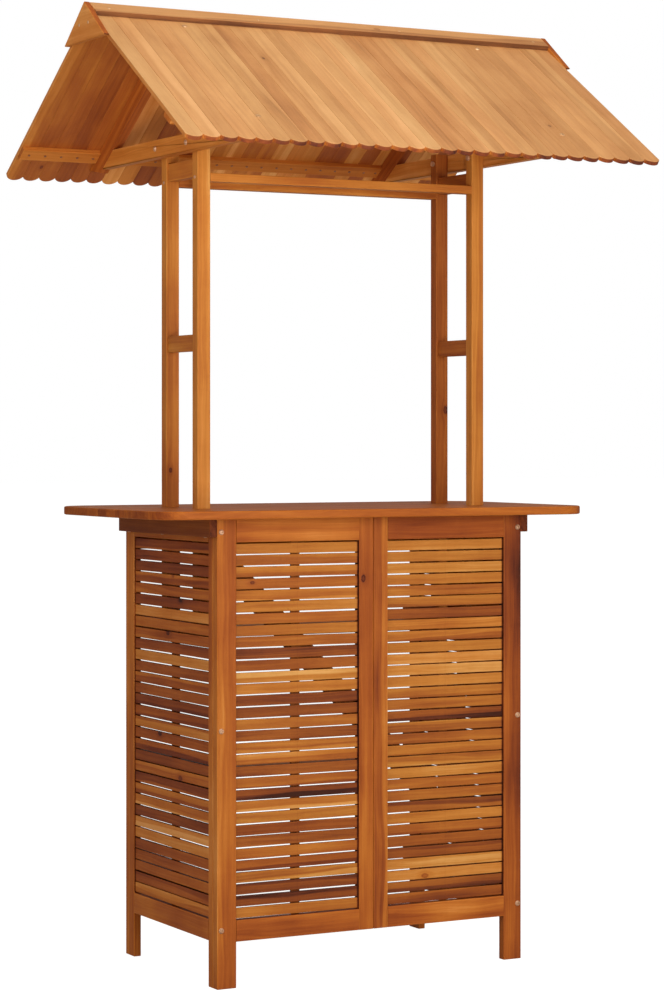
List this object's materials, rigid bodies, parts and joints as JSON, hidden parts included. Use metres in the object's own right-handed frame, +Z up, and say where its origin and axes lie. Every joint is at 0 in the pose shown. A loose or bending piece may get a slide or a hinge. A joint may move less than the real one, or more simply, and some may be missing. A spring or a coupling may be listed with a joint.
{
  "type": "outdoor bar table with roof",
  "caption": "Slatted wooden outdoor bar with a rounded counter, storage shelves, four posts and a pitched roof of scalloped boards.",
  "frame": {"origin": "on the ground, in the middle of the roof's plan", "axes": "+Z up; the customer's side faces -Y, the open back with the shelves faces +Y; +X to the right seen from the front"},
  "size_m": [1.2132, 1.0198, 2.17],
  "materials": {
    "frame_wood": "oiled hardwood, satin, straight to wavy grain",
    "slat_wood": "oiled hardwood slats, satin, every slat its own tone",
    "counter_wood": "oiled hardwood, satin, glued staves",
    "roof_board_wood": "oiled hardwood boards, satin, board-to-board tone changes",
    "ridge_wood": "oiled hardwood, satin",
    "post_wood": "oiled hardwood, satin",
    "truss_wood": "oiled hardwood, satin",
    "inner_wood": "oiled hardwood, darker boards",
    "zinc_steel": "zinc plated, satin"
  },
  "bodies": {
    "root": {"front_left_leg": "frame_wood", "front_right_leg": "frame_wood", "left_centre_stile": "frame_wood", "right_centre_stile": "frame_wood", "front_top_rails": "frame_wood", "front_bottom_rails": "frame_wood", "front_left_slats": "slat_wood", "front_right_slats": "slat_wood", "front_slat_battens": "inner_wood", "diagonal_brace": "inner_wood", "left_side_stile": "frame_wood", "right_side_stile": "frame_wood", "back_left_leg": "frame_wood", "back_right_leg": "frame_wood", "left_side_rails": "frame_wood", "right_side_rails": "frame_wood", "left_side_slats": "slat_wood", "right_side_slats": "slat_wood", "left_slat_batten": "inner_wood", "right_slat_batten": "inner_wood", "left_counter_cleat": "inner_wood", "right_counter_cleat": "inner_wood", "back_top_rail": "inner_wood", "left_shelf_rails": "inner_wood", "right_shelf_rails": "inner_wood", "upper_shelf_boards": "inner_wood", "lower_shelf_boards": "inner_wood", "countertop": "counter_wood", "front_left_post": "post_wood", "front_right_post": "post_wood", "back_left_post": "post_wood", "back_right_post": "post_wood", "left_ladder_rails": "post_wood", "right_ladder_rails": "post_wood", "front_header_rail": "post_wood", "back_header_rail": "post_wood", "left_tie_beam": "truss_wood", "right_tie_beam": "truss_wood", "left_rafters": "truss_wood", "right_rafters": "truss_wood", "front_roof_boards": "roof_board_wood", "back_roof_boards": "roof_board_wood", "front_roof_battens": "truss_wood", "back_roof_battens": "truss_wood", "front_ridge_board": "ridge_wood", "back_ridge_board": "ridge_wood", "left_gable_plate": "ridge_wood", "right_gable_plate": "ridge_wood", "leg_bolts": "zinc_steel", "leg_bolt_sleeves": "zinc_steel", "cleat_bolts": "zinc_steel", "counter_screws": "zinc_steel", "shelf_screws": "zinc_steel", "brace_screws": "zinc_steel", "header_screws": "zinc_steel", "post_bolts": "zinc_steel", "tie_bolts": "zinc_steel", "roof_bolts": "zinc_steel", "batten_screws": "zinc_steel", "ridge_and_gable_screws": "zinc_steel"}
  },
  "joints": []
}
